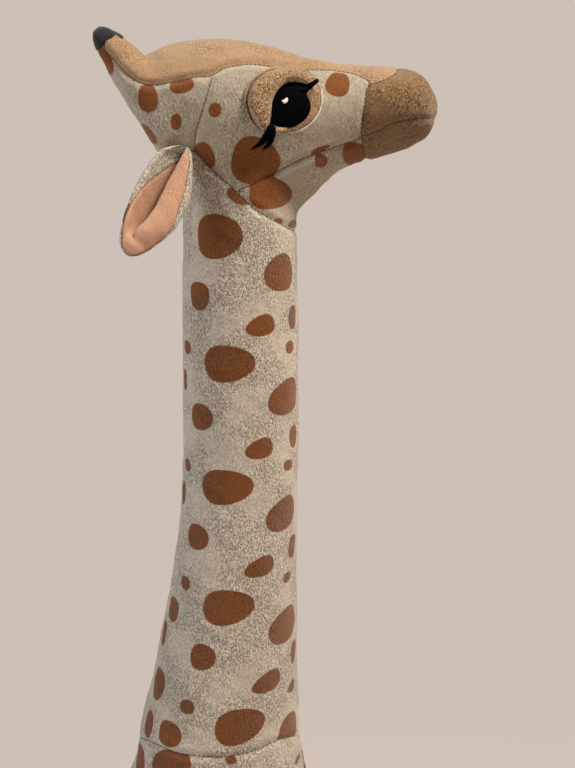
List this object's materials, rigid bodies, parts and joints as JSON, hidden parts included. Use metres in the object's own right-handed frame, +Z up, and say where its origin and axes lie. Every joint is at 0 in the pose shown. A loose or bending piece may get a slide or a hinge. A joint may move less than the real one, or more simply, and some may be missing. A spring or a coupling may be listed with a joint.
{
  "type": "plush giraffe",
  "caption": "Tall stuffed plush giraffe standing on its legs, with a wire-stiffened neck that leans, turns and nods, and with hanging ears and tail",
  "frame": {"origin": "on the floor, under the middle of the object's length and breadth", "axes": "+X forwards to the nose, +Y to the giraffe's left, +Z up"},
  "size_m": [0.6102, 0.1976, 1.354],
  "materials": {
    "cream_plush": "matte",
    "tan_plush": "matte",
    "muzzle_plush": "matte",
    "brown_plush": "matte",
    "pink_plush": "matte",
    "black_felt": "matte",
    "white_thread": "matte",
    "stuffing": "matte",
    "steel_wire": "satin"
  },
  "bodies": {
    "torso": {"body_stuffing": "stuffing", "belly_panel": "cream_plush", "body_panel_right": "cream_plush", "body_panel_left": "cream_plush", "front_leg_frame": "steel_wire", "rear_leg_frame": "steel_wire", "spine_wire": "steel_wire", "front_leg_cover_right": "cream_plush", "front_leg_cover_left": "cream_plush", "front_leg_stuffing_right": "stuffing", "front_leg_stuffing_left": "stuffing", "front_hoof_right": "brown_plush", "front_hoof_left": "brown_plush", "front_sole_right": "brown_plush", "front_sole_left": "brown_plush", "rear_leg_cover_right": "cream_plush", "rear_leg_cover_left": "cream_plush", "rear_leg_stuffing_right": "stuffing", "rear_leg_stuffing_left": "stuffing", "rear_hoof_right": "brown_plush", "rear_hoof_left": "brown_plush", "rear_sole_right": "brown_plush", "rear_sole_left": "brown_plush"},
    "lower_neck": {"lower_neck_cover": "cream_plush", "lower_neck_stuffing": "stuffing", "lower_neck_wire": "steel_wire"},
    "upper_neck": {"upper_neck_cover": "cream_plush", "upper_neck_stuffing": "stuffing", "upper_neck_wire": "steel_wire"},
    "head": {"head_stuffing": "stuffing", "crown_panel": "tan_plush", "jaw_panel": "cream_plush", "muzzle_panel": "muzzle_plush", "chin_panel": "muzzle_plush", "head_wire": "steel_wire", "face_panel_right": "cream_plush", "face_panel_left": "cream_plush", "nape_panel_right": "cream_plush", "nape_panel_left": "cream_plush", "horn_right": "cream_plush", "horn_left": "cream_plush", "horn_tip_right": "black_felt", "horn_tip_left": "black_felt", "eye_right": "black_felt", "eye_left": "black_felt", "eyelid_right": "tan_plush", "eyelid_left": "tan_plush", "eye_glint_right": "white_thread", "eye_glint_left": "white_thread", "eyelash_upper_right": "black_felt", "eyelash_upper_left": "black_felt", "eyelash_lower_right": "black_felt", "eyelash_lower_left": "black_felt"},
    "ear_right": {"ear_back_right": "cream_plush", "ear_lining_right": "pink_plush"},
    "ear_left": {"ear_back_left": "cream_plush", "ear_lining_left": "pink_plush"},
    "tail": {"tail": "cream_plush", "tail_tuft": "brown_plush"}
  },
  "joints": [
    {"name": "neck_lean", "type": "hinge", "parent": "torso", "child": "lower_neck", "pos_m": [0.08967, 0, 0.81202], "axis": [0, 1, 0], "range_deg": [-8, 12]},
    {"name": "neck_turn", "type": "hinge", "parent": "lower_neck", "child": "upper_neck", "pos_m": [0.13073, 0, 1.00391], "axis": [0.0983, 0, 0.9952], "range_deg": [-25, 25]},
    {"name": "head_nod", "type": "hinge", "parent": "upper_neck", "child": "head", "pos_m": [0.12724, 0, 1.17207], "axis": [0, 1, 0], "range_deg": [-10, 10]},
    {"name": "ear_right_flop", "type": "hinge", "parent": "head", "child": "ear_right", "pos_m": [0.11557, -0.04176, 1.25608], "axis": [-0.8211, 0, 0.5707], "range_deg": [-10, 45], "stiffness_Nm_per_rad": 0.06, "springref_deg": 1.15},
    {"name": "ear_left_flop", "type": "hinge", "parent": "head", "child": "ear_left", "pos_m": [0.11557, 0.04176, 1.25608], "axis": [0.8211, 0, -0.5707], "range_deg": [-10, 45], "stiffness_Nm_per_rad": 0.06, "springref_deg": 1.15},
    {"name": "tail_swing", "type": "hinge", "parent": "torso", "child": "tail", "pos_m": [-0.25643, 0, 0.61415], "axis": [-0.866, 0, 0.5], "range_deg": [-25, 25]}
  ]
}
